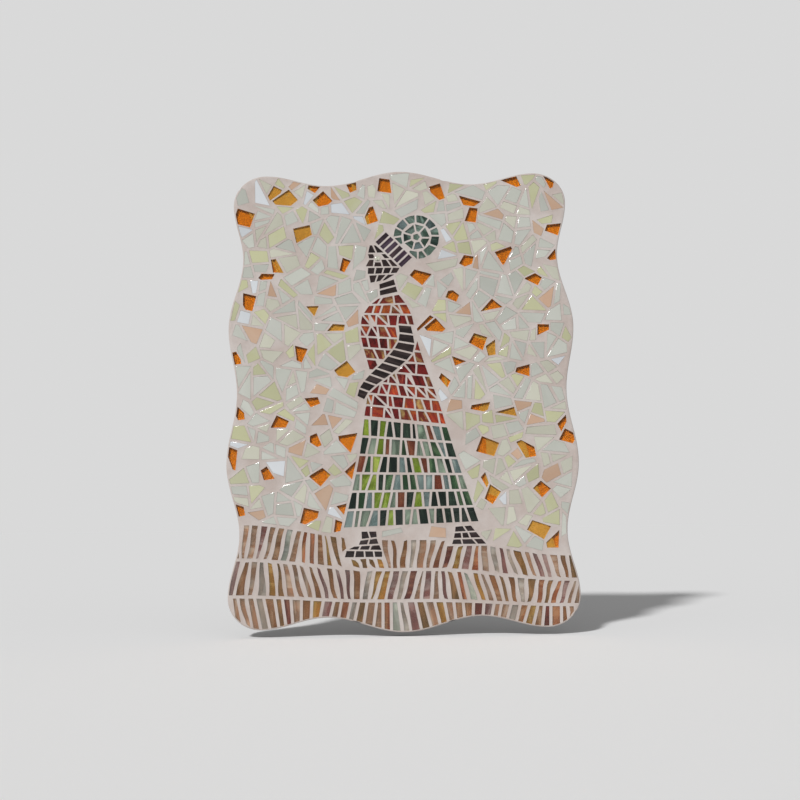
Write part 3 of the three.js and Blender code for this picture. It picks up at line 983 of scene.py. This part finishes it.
studio = {
    "floor": 0.88,
    "floorSize": 60,
    "below": 6 * mm,
    "fill": 0.27,
    "key": 2.5,
    "keyFrom": (-0.40, -0.64, 0.65),
    "keyDistance": 3,
    "keySize": 6.0,  # degrees
}


def makeStudio():
    low, high = cadBox
    bpy.ops.mesh.primitive_plane_add(size=studio["floorSize"], location=(0, 0, low[2] - studio["below"]))
    floor = bpy.context.object
    floor.name = "floor"
    material, nodes, links = newMaterial("paleFloor")
    nodes["Principled BSDF"].inputs["Base Color"].default_value = (*[studio["floor"]] * 3, 1)
    nodes["Principled BSDF"].inputs["Roughness"].default_value = 1.0
    nodes["Principled BSDF"].inputs["Specular IOR Level"].default_value = 0.0
    floor.data.materials.append(material)
    keyFrom = Vector(studio["keyFrom"]).normalized()
    bpy.ops.object.light_add(type="SUN", location=keyFrom * studio["keyDistance"])
    key = bpy.context.object
    key.data.angle = math.radians(studio["keySize"])
    key.data.energy = studio["key"]
    key.rotation_euler = keyFrom.to_track_quat("Z", "Y").to_euler()
    # the backdrop is as bright as the lit floor, so that no horizon shows
    floorBrightness = studio["floor"] * (studio["fill"] + studio["key"] * keyFrom.z / math.pi)
    world = bpy.data.worlds.new("studio")
    bpy.context.scene.world = world
    world.use_nodes = True
    nodes, links = world.node_tree.nodes, world.node_tree.links
    light = nodes["Background"]
    light.inputs["Color"].default_value = (1.0, 1.0, 1.0, 1)
    light.inputs["Strength"].default_value = studio["fill"]
    backdrop = addNode(nodes, "ShaderNodeBackground", (-200, -200))
    backdrop.inputs["Color"].default_value = (1.0, 1.0, 1.0, 1)
    backdrop.inputs["Strength"].default_value = floorBrightness
    ray = addNode(nodes, "ShaderNodeLightPath", (-200, 300))
    either = addNode(nodes, "ShaderNodeMixShader", (0, 0))
    links.new(ray.outputs["Is Camera Ray"], either.inputs["Fac"])
    links.new(light.outputs["Background"], either.inputs[1])
    links.new(backdrop.outputs["Background"], either.inputs[2])
    links.new(either.outputs["Shader"], nodes["World Output"].inputs["Surface"])
    print("floor and lights set")


placeCamera()
bpy.context.scene.view_settings.view_transform = "Standard"
pattern = layPattern()

groutPiece = makeGrout(pattern, sandyGrout())
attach(groutPiece, "root")
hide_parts("grout")

seeds = glassSheet["seeds"]
opalGlass = streakyGlass("opalGlass", glassLook["field"])
fieldPiece = cutGlass(pattern, "field_glass", "field", "field", opalGlass, seeds["field"])

amberPiece = cutGlass(pattern, "amber_glass", "amber", "amber", amberGlass(), seeds["amber"])
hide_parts(*[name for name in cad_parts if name.startswith("amber_")])

groundGlass = streakyGlass("groundGlass", glassLook["ground_slivers"])
groundPiece = cutGlass(pattern, "ground_glass", "ground_slivers", "ground", groundGlass, seeds["ground"])
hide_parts("ground_slivers")

darkGlass = streakyGlass("darkGlass", glassLook["dark"])
finishes = {
    "headwrap": (streakyGlass("wrapGlass", glassLook["headwrap"]), "wrap_glass"),
    "headband": (darkGlass, "band_glass"),
    "face": (darkGlass, "skin_glass"),
    "neck": (darkGlass, "skin_glass"),
    "arm": (darkGlass, "skin_glass"),
    "blouse": (streakyGlass("blouseGlass", glassLook["blouse"]), "blouse_glass"),
    "skirt": (streakyGlass("skirtGlass", glassLook["skirt"]), "skirt_glass"),
    "front_shoe": (darkGlass, "shoe_glass"),
    "back_shoe": (darkGlass, "shoe_glass"),
}
for offset, (name, (material, slot)) in enumerate(finishes.items()):
    piece = cutGlass(pattern, name + "_glass", name, "figure", material, seeds["figure"] + offset)
    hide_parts(name)
print("glass cut")

dressNode("board", paintedWood())
dressNode("eye", eyeBead())
makeStudio()
